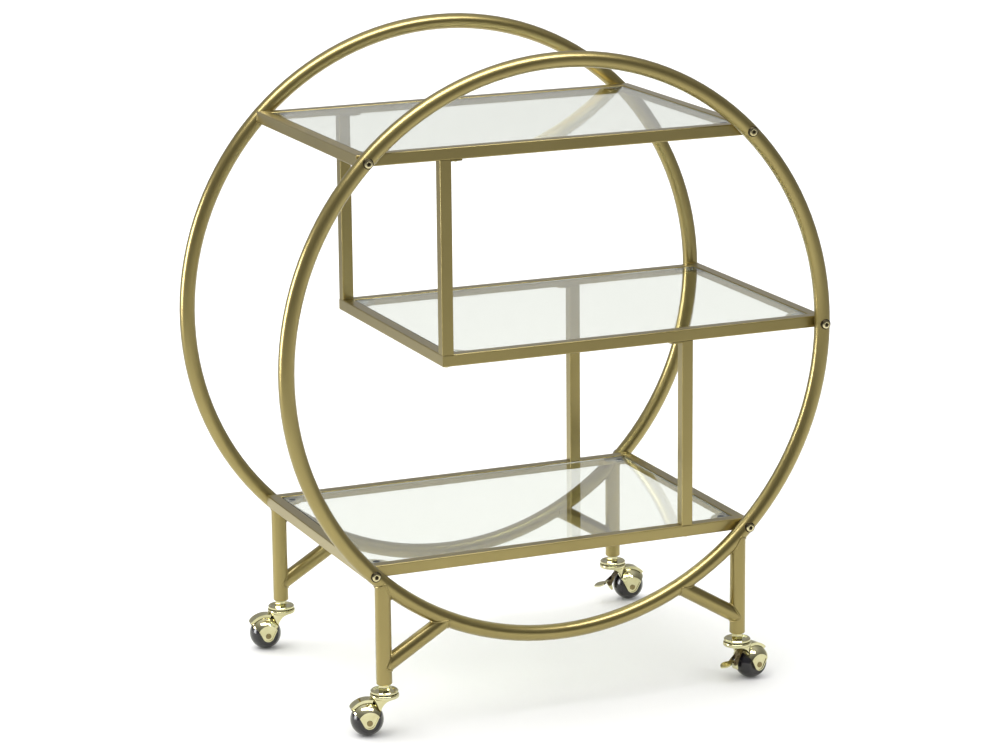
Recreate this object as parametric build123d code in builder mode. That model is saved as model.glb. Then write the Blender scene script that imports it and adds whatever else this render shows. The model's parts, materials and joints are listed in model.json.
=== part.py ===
from build123d import *
from dataclasses import dataclass
from math import cos, radians, sin, sqrt
import os

# Bar cart: two round tube rings carry three glass shelves and roll on four hooded ball casters.
# Millimetres. +X runs along the shelves, +Y to the back ring, +Z up. The origin is on the floor,
# midway between the rings and under their centres.

# ---- driving sizes ---------------------------------------------------------------------------

# rings and round tube
ring_radius = 362.0            # centreline of the bent tube
ring_height = 462.0            # ring centre above the floor
ring_spacing = 380.0           # front ring plane to back ring plane
ring_seam = 0.01               # degrees left open where the bent tube's two ends meet, at the bottom
tube_diameter = 20.0
tube_wall = 1.5

# shelf frames in square tube
rail_size = 15.0
rail_wall = 1.2
rail_corner = 1.5              # outside corner radius of the square tube
shelf_angle = 45.0             # top and bottom shelves are bolted this far above and below the centre
middle_shelf_left = -156.0     # free end of the middle shelf

# glass
glass_thickness = 5.0
glass_recess = 1.0             # glass top below the rail top
glass_gap = 1.0                # glass edge to rail
glass_corner = 2.0
tab_radius = 28.0
tab_thickness = 2.0
pad_radius = 5.0
pad_thickness = 1.2
pad_inset = 11.0               # pad centre from each rail

# posts between the shelves
lower_post_x = 177.0
ear_length = 16.0
ear_thickness = 2.0
ear_corner = 5.0
plug_length = 12.0

# legs and braces in round tube
leg_x = 244.0
leg_chamfer = 1.2
leg_plug_length = 22.0
brace_foot_height = 86.5       # where the brace axis meets the leg axis
brace_ring_x = 160.0           # where the brace axis meets the ring centreline

# fasteners
bolt_radius = 3.0
bolt_head_radius = 6.6
bolt_head_height = 3.0
bolt_head_skirt = 2.4          # how far the saddle-shaped head reaches around the tube
socket_radius = 2.5
socket_depth = 1.8
nut_width = 10.0               # across flats
nut_thickness = 5.0
foot_head_radius = 5.2
foot_head_height = 2.2
screw_radius = 2.0
screw_head_radius = 3.8
screw_head_height = 2.0
screw_reach = 4.0              # screw end past the rail wall
head_brim = 0.25               # straight share of a domed head's height

# casters
wheel_radius = 20.75
wheel_width = 31.0
hood_wall = 2.2
cheek_thickness = 3.1
cheek_pocket = 0.7
cheek_rim = 1.4
cheek_end_radius = 7.8
crest_height = 2.4
crest_width = 15.0
crest_start = 37.0             # degrees above the horizontal, trailing side
crest_end = 105.0
crest_tip_radius = 4.5
neck_web = 4.4                 # thickness of each neck web
neck_lap = 0.5                 # how far a neck web reaches into its cheek
plate_radius = 18.2
plate_thickness = 5.0
plate_edge = 1.6
plate_gap = 0.9                # cap to swivel plate
cap_radius = 17.2
cap_floor = 2.0
cap_rim_height = 3.6
cap_rim_width = 2.6
cap_edge = 0.8
hex_width = 13.0               # across flats
hex_height = 8.6
kingpin_radius = 4.0
kingpin_head_radius = 6.5
kingpin_head_height = 1.4
kingpin_drop = 4.2             # top of the ball to the kingpin's head
kingpin_clearance = 2.0        # brake bracket's tab to the kingpin's head
ball_radius = 1.5
ball_circle = 12.0
balls_per_race = 10
axle_radius = 3.0
axle_head_radius = 3.7
axle_head_height = 0.8
axle_head_round = 0.6          # rounded share of the head's height

# hood outline in the caster's own side view (trailing way, up), from the wheel centre, in wheel radii
shield_trail_share = (0.617, 0.366)    # where the shield's trailing edge meets the hood's mouth
shield_lead_share = (-0.723, 0.6265)   # where the shield's leading edge meets the neck
neck_bend_share = (-0.935, 1.089)      # on the neck's hollow leading edge
neck_notch_share = (-0.559, 0.858)     # bottom of the notch between neck and dome
neck_front_share = -1.59               # neck under the plate, leading end
neck_back_share = -0.241               # neck under the plate, trailing end
hood_lead_share = -0.819               # leading limit of the dome
neck_wall = 1.0                        # neck block past the notch
mouth_slope = 38.7                     # degrees the mouth rises from the shield to the crest

# brake on the two right-hand casters, in the same side view
brake_pin_share = (-1.3735, 0.1928)    # in wheel radii
brake_pin_radius = 1.5
brake_hub_radius = 3.2
brake_hub_width = 7.4
brake_nose_length = 10.5
brake_nose_thickness = 3.2
brake_nose_angle = -66.9       # released
leaf_length = 21.0
leaf_thickness = 1.8
leaf_root = 3.6                # half width where it leaves the hub
leaf_neck = 4.6                # length that stays narrow, between the ears
leaf_belly = 7.2               # half width at the middle
leaf_belly_at = 0.6            # share of the length where it is widest
leaf_slope = 15.0              # degrees below the horizontal
bracket_gap = 8.0              # between the bracket's two ears
bracket_sheet = 1.4
bracket_eye = 3.3
bracket_rise = 0.4             # strap's inner face over the dome
bracket_strap_start = 121.5    # degrees round the ball from the trailing way to the strap's top
bracket_strap_end = 165.0
bracket_ear_start = 150.0      # the ears leave the strap here
bracket_tab_foot = 4.2         # bottom of the riveted tab below the swivel plate
brake_pin_stick_out = 0.6

# clearances
hole_clearance = 0.2           # bolt in a drilled hole
fit_clearance = 0.05           # pin, plug or bearing in its seat
wheel_clearance = 1.25         # ball to hood
cheek_clearance = 0.9          # ball's flat side to cheek
race_clearance = 0.3           # race ball to the turning plate
kingpin_gap = 0.4              # riveted head to the turning plate

# ---- derived sizes ---------------------------------------------------------------------------

tube_radius = tube_diameter / 2
ring_y = ring_spacing / 2
shelf_face_y = ring_y - tube_radius                 # outer face of the long rails
rail_line_y = shelf_face_y - rail_size / 2
rail_bore = rail_size - 2 * rail_wall
rail_bore_corner = max(rail_corner - rail_wall, 0.2)
shelf_rise = ring_radius * sin(radians(shelf_angle))
shelf_reach = ring_radius * cos(radians(shelf_angle))   # bolt line of the top and bottom shelves
ring_axis = Axis((0, 0, ring_height), (0, 1, 0))
hood_bore = wheel_radius + wheel_clearance
hood_radius = hood_bore + hood_wall
cheek_inner = wheel_width / 2 + cheek_clearance
cheek_outer = cheek_inner + cheek_thickness
crest_radius = hood_radius + crest_height
neck_outer = cheek_inner + neck_lap
neck_inner = neck_outer - neck_web
kingpin_bottom = 2 * wheel_radius + kingpin_drop
plate_bottom = kingpin_bottom + kingpin_head_height + kingpin_gap
plate_underside = plate_bottom - wheel_radius       # in the caster's side view
plate_top = plate_bottom + plate_thickness
cap_bottom = plate_top + plate_gap
race_height = cap_bottom - plate_gap / 2
leg_bottom = cap_bottom + cap_floor + hex_height
stem_top = leg_bottom + leg_plug_length - fit_clearance


def in_wheels(shares):
    """A point of the caster's side view given in wheel radii, in millimetres."""
    return shares[0] * wheel_radius, shares[1] * wheel_radius


shield_trail = in_wheels(shield_trail_share)
shield_lead = in_wheels(shield_lead_share)
neck_bend = in_wheels(neck_bend_share)
neck_notch = in_wheels(neck_notch_share)
neck_front = neck_front_share * wheel_radius
neck_back = neck_back_share * wheel_radius
hood_lead = hood_lead_share * wheel_radius
neck_hollow = neck_notch[0] - neck_wall             # leading face of the neck's inner block
tab_face = neck_hollow - bracket_sheet              # leading face of the brake bracket's tab
caster_trail = kingpin_clearance + kingpin_head_radius - tab_face      # swivel axis to wheel axis
brake_pin_at = in_wheels(brake_pin_share)
strap_inner = hood_radius + bracket_rise
strap_outer = strap_inner + bracket_sheet
strap_middle = (strap_inner + strap_outer) / 2


@dataclass
class Shelf:
    """One glass shelf: its frame's outer ends in X, its rail mid-height and its ring bolts."""

    name: str
    left: float
    right: float
    height: float
    bolt_xs: tuple

    @property
    def top(self):
        return self.height + rail_size / 2

    @property
    def bottom(self):
        return self.height - rail_size / 2

    @property
    def middle_x(self):
        return (self.left + self.right) / 2

    def end_line(self, side):
        """X of the end rail's centreline."""
        return self.left + rail_size / 2 if side < 0 else self.right - rail_size / 2

    def inner_corner(self, side_x, side_y):
        """Inside corner of the frame, in plan."""
        x = self.end_line(side_x) - side_x * rail_size / 2
        return x, side_y * (rail_line_y - rail_size / 2)


@dataclass
class Post:
    """One square post: its plan place, the shelves it joins and the way its ear points."""

    name: str
    x: float
    side_y: int
    foot: Shelf
    head: Shelf
    ear_side: int

    @property
    def y(self):
        return self.side_y * rail_line_y

    @property
    def ear_x(self):
        return self.x + self.ear_side * (rail_size + ear_length) / 2


@dataclass
class Caster:
    """One caster: the leg it hangs from, the way it trails at rest and whether it has a brake."""

    name: str
    side_x: int
    side_y: int
    turn: float
    braked: bool

    @property
    def pivot(self):
        return self.side_x * leg_x, self.side_y * ring_y

    @property
    def trail_way(self):
        turned = radians(self.turn)
        return Vector(self.side_x * cos(turned), self.side_x * sin(turned), 0)

    @property
    def wheel_centre(self):
        return Vector(*self.pivot, wheel_radius) + self.trail_way * caster_trail

    @property
    def plan(self):
        """Horizontal plane through the wheel centre: x trails, y is the axle."""
        return Plane(origin=self.wheel_centre, x_dir=self.trail_way, z_dir=(0, 0, 1))

    @property
    def side(self):
        """Upright plane through the wheel centre: x trails, y is up."""
        return Plane(origin=self.wheel_centre, x_dir=self.trail_way, z_dir=-self.plan.y_dir)

    @property
    def axle_axis(self):
        return Axis(self.wheel_centre, self.plan.y_dir)

    @property
    def upright(self):
        """Upright plane through the swivel axis with its origin on the floor: x outward, y up."""
        return Plane(origin=(*self.pivot, 0), x_dir=self.trail_way, z_dir=-self.plan.y_dir)

    @property
    def swivel_axis(self):
        return Axis((*self.pivot, 0), (0, 0, 1))


end_reach = shelf_reach + rail_size / 2
top_shelf = Shelf("top", -end_reach, end_reach, ring_height + shelf_rise, (-shelf_reach, shelf_reach))
middle_shelf = Shelf("middle", middle_shelf_left, ring_radius + rail_size / 2, ring_height, (ring_radius,))
bottom_shelf = Shelf("bottom", -end_reach, end_reach, ring_height - shelf_rise, (-shelf_reach, shelf_reach))
shelves = (top_shelf, middle_shelf, bottom_shelf)

upper_post_x = middle_shelf.end_line(-1)
posts = (
    Post("upper_front_post", upper_post_x, -1, middle_shelf, top_shelf, 1),
    Post("upper_back_post", upper_post_x, 1, middle_shelf, top_shelf, 1),
    Post("lower_front_post", lower_post_x, -1, bottom_shelf, middle_shelf, -1),
    Post("lower_back_post", lower_post_x, 1, bottom_shelf, middle_shelf, -1),
)

casters = (
    Caster("front_left", -1, -1, -10.0, False),
    Caster("front_right", 1, -1, 12.5, True),
    Caster("back_left", -1, 1, -6.0, False),
    Caster("back_right", 1, 1, -6.0, True),
)

os.makedirs("parts", exist_ok=True)


def write(builder, name):
    """Label a finished piece and write it as its own STEP file."""
    builder.part.label = name
    export_step(builder.part, f"parts/{name}.step")


def drill(at, way, radius, depth):
    """Cut a round hole into the current part."""
    with BuildSketch(Plane(origin=at, z_dir=way)) as hole:
        Circle(radius)
    extrude(hole.sketch, amount=depth, mode=Mode.SUBTRACT)


def ring_tube(side_y, radius, mode=Mode.ADD):
    """A round bar bent to the ring's centreline, its ends at the bottom, in the current part."""
    with BuildSketch(Plane.YZ) as section:
        with Locations((side_y * ring_y, ring_height - ring_radius)):
            Circle(radius)
    revolve(section.sketch, axis=ring_axis, revolution_arc=360 - ring_seam, mode=mode)


def turned(outline, plane, axis, mode=Mode.ADD):
    """Revolve a closed outline, given as (radius, height) points, in the current part."""
    with BuildSketch(plane) as section:
        with BuildLine():
            Polyline(*outline, close=True)
        make_face()
    revolve(section.sketch, axis=axis, mode=mode)


# ---- rings -----------------------------------------------------------------------------------


def build_ring(name, side_y):
    """One bent tube ring, drilled for the shelf bolts."""
    outside = side_y * (ring_y + tube_diameter)
    with BuildPart() as ring:
        ring_tube(side_y, tube_radius)
        ring_tube(side_y, tube_radius - tube_wall, Mode.SUBTRACT)
        for shelf in shelves:
            for x in shelf.bolt_xs:
                place = (x, outside, shelf.height)
                drill(place, (0, -side_y, 0), bolt_radius + hole_clearance, 2 * tube_diameter)
    write(ring, name)


build_ring("front_ring", -1)
build_ring("back_ring", 1)

# ---- legs and braces -------------------------------------------------------------------------

leg_top = ring_height - sqrt(ring_radius**2 - leg_x**2)
brace_ring_height = ring_height - sqrt(ring_radius**2 - brace_ring_x**2)


def build_leg(caster):
    """An upright tube, coped to the underside of its ring and chamfered at the foot."""
    with BuildPart() as leg:
        with BuildSketch(Plane.XY.offset(leg_bottom)):
            with Locations(caster.pivot):
                Circle(tube_radius)
                Circle(tube_radius - tube_wall, mode=Mode.SUBTRACT)
        extrude(amount=leg_top - leg_bottom)
        foot_edges = leg.edges().filter_by(GeomType.CIRCLE).group_by(Axis.Z)[0]
        chamfer(foot_edges.sort_by(SortBy.RADIUS)[-1], leg_chamfer)
        ring_tube(caster.side_y, tube_radius, Mode.SUBTRACT)
    write(leg, f"leg_{caster.name}")


def build_brace(caster):
    """A slanted tube from the leg to the ring, coped at both ends."""
    foot = Vector(*caster.pivot, brace_foot_height)
    head = Vector(caster.side_x * brace_ring_x, caster.side_y * ring_y, brace_ring_height)
    with BuildPart() as brace:
        with BuildSketch(Plane(origin=foot, z_dir=head - foot)):
            Circle(tube_radius)
            Circle(tube_radius - tube_wall, mode=Mode.SUBTRACT)
        extrude(amount=(head - foot).length)
        ring_tube(caster.side_y, tube_radius, Mode.SUBTRACT)
        with BuildSketch(Plane.XY.offset(leg_bottom)):
            with Locations(caster.pivot):
                Circle(tube_radius)
        extrude(amount=leg_top - leg_bottom, mode=Mode.SUBTRACT)
    write(brace, f"brace_{caster.name}")


for caster in casters:
    build_leg(caster)
    build_brace(caster)

with BuildPart() as leg_plugs:
    with BuildSketch(Plane.XY.offset(leg_bottom)):
        with Locations(*[caster.pivot for caster in casters]):
            Circle(tube_radius - tube_wall - fit_clearance)
            Circle(kingpin_radius + fit_clearance, mode=Mode.SUBTRACT)
    extrude(amount=leg_plug_length)
write(leg_plugs, "leg_plugs")

# ---- shelf frames ----------------------------------------------------------------------------


def mitre_plane(shelf, side_x, side_y, along_x):
    """Upright 45 degree plane at an outer corner, facing the rail that is kept."""
    corner = (shelf.left if side_x < 0 else shelf.right, side_y * shelf_face_y, shelf.height)
    facing = (-side_x, side_y, 0) if along_x else (side_x, -side_y, 0)
    return Plane(origin=corner, z_dir=facing)


def square_tube(section, run, mitres):
    """A straight square tube in the current part, cut at each mitre plane."""
    with BuildSketch(section) as wall:
        RectangleRounded(rail_size, rail_size, rail_corner)
        RectangleRounded(rail_bore, rail_bore, rail_bore_corner, mode=Mode.SUBTRACT)
    extrude(wall.sketch, amount=run / 2, both=True)
    for mitre in mitres:
        split(bisect_by=mitre, keep=Keep.TOP)


def drill_for_posts(shelf):
    """Holes for the foot bolts and ear screws of every post that meets this shelf."""
    for post in posts:
        if post.foot is shelf:
            drill((post.x, post.y, shelf.bottom), (0, 0, 1), bolt_radius + hole_clearance, rail_size)
        if post.head is shelf:
            ear_at = (post.ear_x, post.y, shelf.bottom)
            drill(ear_at, (0, 0, 1), screw_radius + hole_clearance, 2 * rail_wall)


def build_long_rail(shelf, name, side_y):
    """Front or back rail, drilled for the ring bolts and the posts."""
    with BuildPart() as rail:
        section = Plane(origin=(shelf.middle_x, side_y * rail_line_y, shelf.height), z_dir=(1, 0, 0))
        mitres = [mitre_plane(shelf, side_x, side_y, True) for side_x in (-1, 1)]
        square_tube(section, shelf.right - shelf.left, mitres)
        for x in shelf.bolt_xs:
            face = (x, side_y * shelf_face_y, shelf.height)
            drill(face, (0, -side_y, 0), bolt_radius + hole_clearance, 2 * rail_wall)
        drill_for_posts(shelf)
    write(rail, name)


def build_end_rail(shelf, name, side_x):
    """Left or right rail, between the long rails."""
    with BuildPart() as rail:
        section = Plane(origin=(shelf.end_line(side_x), 0, shelf.height), z_dir=(0, 1, 0))
        mitres = [mitre_plane(shelf, side_x, side_y, False) for side_y in (-1, 1)]
        square_tube(section, 2 * shelf_face_y, mitres)
        drill_for_posts(shelf)
    write(rail, name)


def build_glass(shelf):
    """The shelf's glass pane, let in just below the rail tops."""
    left, back = shelf.inner_corner(-1, 1)
    right, front = shelf.inner_corner(1, -1)
    with BuildPart() as glass:
        with BuildSketch(Plane.XY.offset(shelf.top - glass_recess - glass_thickness)):
            with Locations(((left + right) / 2, (front + back) / 2)):
                RectangleRounded(right - left - 2 * glass_gap, back - front - 2 * glass_gap, glass_corner)
        extrude(amount=glass_thickness)
    write(glass, f"{shelf.name}_glass")


for shelf in shelves:
    build_long_rail(shelf, f"{shelf.name}_front_rail", -1)
    build_long_rail(shelf, f"{shelf.name}_back_rail", 1)
    build_end_rail(shelf, f"{shelf.name}_left_rail", -1)
    build_end_rail(shelf, f"{shelf.name}_right_rail", 1)
    build_glass(shelf)

shelf_corners = [(shelf, side_x, side_y) for shelf in shelves for side_x in (-1, 1) for side_y in (-1, 1)]

with BuildPart() as glass_tabs:
    for shelf, side_x, side_y in shelf_corners:
        tab_middle = shelf.top - glass_recess - glass_thickness - pad_thickness - tab_thickness / 2
        corner = Plane(
            origin=(*shelf.inner_corner(side_x, side_y), tab_middle),
            x_dir=(-side_x, 0, 0),
            z_dir=(0, 0, side_x * side_y),
        )
        with BuildSketch(corner):
            with BuildLine():
                Line((0, 0), (tab_radius, 0))
                CenterArc((0, 0), tab_radius, 0, 90)
                Line((0, tab_radius), (0, 0))
            make_face()
        extrude(amount=tab_thickness / 2, both=True)
write(glass_tabs, "glass_tabs")

with BuildPart() as glass_pads:
    for shelf, side_x, side_y in shelf_corners:
        corner_x, corner_y = shelf.inner_corner(side_x, side_y)
        with BuildSketch(Plane.XY.offset(shelf.top - glass_recess - glass_thickness - pad_thickness)):
            with Locations((corner_x - side_x * pad_inset, corner_y - side_y * pad_inset)):
                Circle(pad_radius)
        extrude(amount=pad_thickness)
write(glass_pads, "glass_pads")

# ---- posts -----------------------------------------------------------------------------------


def build_post(post):
    """Square post standing on its foot shelf's rail, under its head shelf's rail."""
    with BuildPart() as column:
        with BuildSketch(Plane.XY.offset(post.foot.top)):
            with Locations((post.x, post.y)):
                RectangleRounded(rail_size, rail_size, rail_corner)
                RectangleRounded(rail_bore, rail_bore, rail_bore_corner, mode=Mode.SUBTRACT)
        extrude(amount=post.head.bottom - post.foot.top)
    write(column, post.name)


for post in posts:
    build_post(post)

with BuildPart() as post_ears:
    for post in posts:
        with BuildSketch(Plane.XY.offset(post.head.bottom - ear_thickness)) as ear:
            with Locations((post.ear_x, post.y)):
                Rectangle(ear_length, rail_size)
            free_end = ear.vertices().group_by(Axis.X)[-1 if post.ear_side > 0 else 0]
            fillet(free_end, ear_corner)
            with Locations((post.ear_x, post.y)):
                Circle(screw_radius + hole_clearance, mode=Mode.SUBTRACT)
        extrude(amount=ear_thickness)
write(post_ears, "post_ears")

with BuildPart() as post_plugs:
    for post in posts:
        with BuildSketch(Plane.XY.offset(post.foot.top)):
            with Locations((post.x, post.y)):
                Rectangle(rail_bore - 4 * fit_clearance, rail_bore - 4 * fit_clearance)
                Circle(bolt_radius + fit_clearance, mode=Mode.SUBTRACT)
        extrude(amount=plug_length)
write(post_plugs, "post_plugs")

# ---- fasteners -------------------------------------------------------------------------------


def domed_screw(seat, way, head_radius, head_height, shank_radius, shank_length):
    """A domed head standing off the seat and its plain shank, in the current part."""
    side = Plane(origin=seat, x_dir=way, z_dir=(1, 0, 0))
    brim = head_height * head_brim
    rise = head_height - brim
    dome_radius = (rise**2 + head_radius**2) / (2 * rise)
    with BuildSketch(side) as half:
        with BuildLine():
            Polyline((head_height, 0), (0, 0), (0, head_radius), (brim, head_radius))
            RadiusArc((brim, head_radius), (head_height, 0), dome_radius)
        make_face()
    revolve(half.sketch, axis=Axis(seat, way))
    with BuildSketch(Plane(origin=seat, z_dir=way)) as shank:
        Circle(shank_radius)
    extrude(shank.sketch, amount=-shank_length)


bolt_length = tube_diameter + rail_wall + nut_thickness
bolt_seat_y = ring_y + tube_radius
ring_bolt_places = [
    (x, side_y, shelf.height) for shelf in shelves for x in shelf.bolt_xs for side_y in (-1, 1)
]

with BuildPart() as ring_bolts:
    # saddle-shaped skirts first, cut to the ring, then the domed heads and shanks
    for x, side_y, height in ring_bolt_places:
        with BuildSketch(Plane(origin=(x, side_y * bolt_seat_y, height), z_dir=(0, side_y, 0))):
            Circle(bolt_head_radius)
        extrude(amount=-bolt_head_skirt)
    for side_y in (-1, 1):
        ring_tube(side_y, tube_radius, Mode.SUBTRACT)
    for x, side_y, height in ring_bolt_places:
        seat = (x, side_y * bolt_seat_y, height)
        head_top = (x, side_y * (bolt_seat_y + bolt_head_height), height)
        domed_screw(seat, (0, side_y, 0), bolt_head_radius, bolt_head_height, bolt_radius, bolt_length)
        with BuildSketch(Plane(origin=head_top, z_dir=(0, side_y, 0))):
            RegularPolygon(socket_radius, 6)
        extrude(amount=-socket_depth, mode=Mode.SUBTRACT)
write(ring_bolts, "ring_bolts")

with BuildPart() as rail_nuts:
    for x, side_y, height in ring_bolt_places:
        inside = Plane(origin=(x, side_y * (shelf_face_y - rail_wall), height), z_dir=(0, -side_y, 0))
        with BuildSketch(inside):
            RegularPolygon(nut_width / 2, 6, major_radius=False)
            Circle(bolt_radius + fit_clearance, mode=Mode.SUBTRACT)
        extrude(amount=nut_thickness)
write(rail_nuts, "rail_nuts")

with BuildPart() as post_foot_bolts:
    for post in posts:
        seat = (post.x, post.y, post.foot.bottom)
        length = rail_size + plug_length
        domed_screw(seat, (0, 0, -1), foot_head_radius, foot_head_height, bolt_radius, length)
write(post_foot_bolts, "post_foot_bolts")

with BuildPart() as post_ear_screws:
    for post in posts:
        seat = (post.ear_x, post.y, post.head.bottom - ear_thickness)
        reach = ear_thickness + rail_wall + screw_reach
        domed_screw(seat, (0, 0, -1), screw_head_radius, screw_head_height, screw_radius, reach)
write(post_ear_screws, "post_ear_screws")

# ---- caster parts that stay with the legs ----------------------------------------------------

with BuildPart() as caster_stems:
    for caster in casters:
        pin = [
            (0, kingpin_bottom),
            (kingpin_head_radius, kingpin_bottom),
            (kingpin_head_radius, kingpin_bottom + kingpin_head_height),
            (kingpin_radius, kingpin_bottom + kingpin_head_height),
            (kingpin_radius, stem_top),
            (0, stem_top),
        ]
        turned(pin, caster.upright, caster.swivel_axis)
        with BuildSketch(Plane.XY.offset(leg_bottom - hex_height)):
            with Locations(caster.pivot):
                RegularPolygon(hex_width / 2, 6, major_radius=False)
        extrude(amount=hex_height)
write(caster_stems, "caster_stems")

with BuildPart() as caster_caps:
    cap_rim_top = cap_bottom + cap_rim_height
    cap_bore = kingpin_radius + fit_clearance
    for caster in casters:
        dish = [
            (cap_bore, cap_bottom),
            (cap_radius - cap_edge, cap_bottom),
            (cap_radius, cap_bottom + cap_edge),
            (cap_radius, cap_rim_top - cap_edge),
            (cap_radius - cap_edge, cap_rim_top),
            (cap_radius - cap_rim_width, cap_rim_top),
            (cap_radius - 2 * cap_rim_width, cap_bottom + cap_floor),
            (cap_bore, cap_bottom + cap_floor),
        ]
        turned(dish, caster.upright, caster.swivel_axis)
        with BuildSketch(caster.upright) as groove:
            with Locations((ball_circle, race_height)):
                Circle(ball_radius + fit_clearance)
        revolve(groove.sketch, axis=caster.swivel_axis, mode=Mode.SUBTRACT)
write(caster_caps, "caster_caps")

with BuildPart() as race_balls:
    for caster in casters:
        with Locations((*caster.pivot, race_height)):
            with PolarLocations(ball_circle, balls_per_race):
                Sphere(ball_radius)
write(race_balls, "race_balls")

# ---- caster parts that turn ------------------------------------------------------------------


def truncated_ball(caster, radius, half_width, mode=Mode.ADD):
    """A ball with two flat sides, turned about the axle, in the current part."""
    flat = sqrt(radius**2 - half_width**2)
    with BuildSketch(caster.plan) as half:
        with BuildLine():
            Line((0, -half_width), (flat, -half_width))
            ThreePointArc((flat, -half_width), (radius, 0), (flat, half_width))
            Line((flat, half_width), (0, half_width))
            Line((0, half_width), (0, -half_width))
        make_face()
    revolve(half.sketch, axis=caster.axle_axis, mode=mode)


def shield():
    """Side outline of one cheek: a rounded end at the axle spreading to two upper corners."""
    with BuildSketch() as outline:
        with BuildLine():
            CenterArc((0, 0), cheek_end_radius, 0, 360)
            Line(shield_lead, shield_trail)
        make_hull()
    return outline.sketch


def build_neck(caster):
    """Two webs between the swivel plate and the cheeks, and the block that carries the dome."""
    top = plate_underside + plate_thickness / 2
    with BuildPart() as neck:
        with BuildSketch(caster.side):
            with BuildLine():
                ThreePointArc(shield_lead, neck_bend, (neck_front, plate_underside))
                Polyline((neck_front, plate_underside), (neck_front, top), (neck_back, top))
                Polyline((neck_back, top), neck_notch, shield_lead)
            make_face()
        extrude(amount=neck_outer, both=True)
        with BuildSketch(caster.side):
            with Locations((neck_hollow, plate_underside)):
                Rectangle(2 * plate_radius, 2 * plate_radius, align=(Align.MAX, Align.MAX))
        extrude(amount=neck_inner, both=True, mode=Mode.SUBTRACT)
        with BuildSketch():
            with Locations(caster.pivot):
                Circle(plate_radius - plate_edge / 2)
        extrude(amount=leg_bottom, mode=Mode.INTERSECT)
    return neck.part


def build_plate(caster):
    """Round swivel plate with softened edges."""
    with BuildPart() as plate:
        with BuildSketch(Plane.XY.offset(plate_bottom)):
            with Locations(caster.pivot):
                Circle(plate_radius)
        extrude(amount=plate_thickness)
        fillet(plate.edges().filter_by(GeomType.CIRCLE), plate_edge)
    return plate.part


def build_dome(caster):
    """Truncated ball cut to the hood's side outline; its inside is hollowed later."""
    far = 2 * hood_radius
    slope = radians(mouth_slope)
    mouth = (shield_trail[0] + far * cos(slope), shield_trail[1] + far * sin(slope))
    with BuildPart() as dome:
        truncated_ball(caster, hood_radius, cheek_outer)
        with BuildSketch(caster.side):
            with BuildLine():
                Polyline(shield_lead, shield_trail, mouth, (mouth[0], far), (hood_lead, far), close=True)
            make_face()
            add(shield())
        extrude(amount=cheek_outer, both=True, mode=Mode.INTERSECT)
    return dome.part


def build_crest(caster):
    """Raised band over the dome, from its mouth to under the swivel plate, round at the tip."""
    sweep_angle = crest_end - crest_start
    with BuildPart() as crest:
        with BuildSketch(caster.side):
            with BuildLine():
                outer = CenterArc((0, 0), crest_radius, crest_start, sweep_angle)
                inner = CenterArc((0, 0), hood_bore, crest_start, sweep_angle)
                Line(inner @ 0, outer @ 0)
                Line(inner @ 1, outer @ 1)
            make_face()
        extrude(amount=crest_width / 2, both=True)
        across = crest.edges().filter_by(GeomType.LINE).filter_by(caster.axle_axis, reverse=True)
        fillet(across.sort_by(Axis((0, 0, 0), caster.trail_way))[-2:], crest_tip_radius)
    return crest.part


def build_hood(caster):
    """The turning casting: swivel plate, neck, dome with its crest, and two cheeks for the axle."""
    parts = (build_neck(caster), build_plate(caster), build_dome(caster), build_crest(caster))
    flat = sqrt(hood_radius**2 - cheek_outer**2)
    with BuildPart() as hood:
        for part in parts:
            add(part)
        truncated_ball(caster, hood_bore, cheek_inner, Mode.SUBTRACT)
        for side in (-1, 1):
            with BuildSketch(caster.side.offset(side * cheek_outer)):
                Circle(flat - cheek_rim)
                inside = offset(shield(), amount=-cheek_rim, mode=Mode.PRIVATE)
                add(inside, mode=Mode.INTERSECT)
            extrude(amount=-side * cheek_pocket, mode=Mode.SUBTRACT)
        with BuildSketch(caster.side):
            Circle(axle_radius + fit_clearance)
        extrude(amount=cheek_outer, both=True, mode=Mode.SUBTRACT)
        with BuildSketch(Plane.XY.offset(plate_bottom)):
            with Locations(caster.pivot):
                Circle(kingpin_radius + fit_clearance)
        extrude(amount=plate_thickness, mode=Mode.SUBTRACT)
        with BuildSketch(caster.upright):
            with Locations((ball_circle, race_height)):
                Circle(ball_radius + race_clearance)
        revolve(axis=caster.swivel_axis, mode=Mode.SUBTRACT)
    write(hood, f"hood_{caster.name}")


def build_wheel(caster):
    """Ball wheel with flat sides and an axle bore."""
    with BuildPart() as wheel:
        truncated_ball(caster, wheel_radius, wheel_width / 2)
        with BuildSketch(caster.side):
            Circle(axle_radius + fit_clearance)
        extrude(amount=wheel_width / 2, both=True, mode=Mode.SUBTRACT)
    write(wheel, f"wheel_{caster.name}")


def build_axle(caster):
    """Riveted axle with a low domed head in each cheek's recess."""
    floor = cheek_outer - cheek_pocket
    with BuildPart() as axle:
        with BuildSketch(caster.side):
            Circle(axle_radius)
        extrude(amount=floor, both=True)
        for side in (-1, 1):
            with BuildSketch(caster.side.offset(side * floor)):
                Circle(axle_head_radius)
            extrude(amount=side * axle_head_height)
            circles = axle.edges().filter_by(GeomType.CIRCLE).sort_by(caster.axle_axis)
            fillet(circles[0 if side > 0 else -1], axle_head_height * axle_head_round)
    write(axle, f"axle_{caster.name}")


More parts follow.
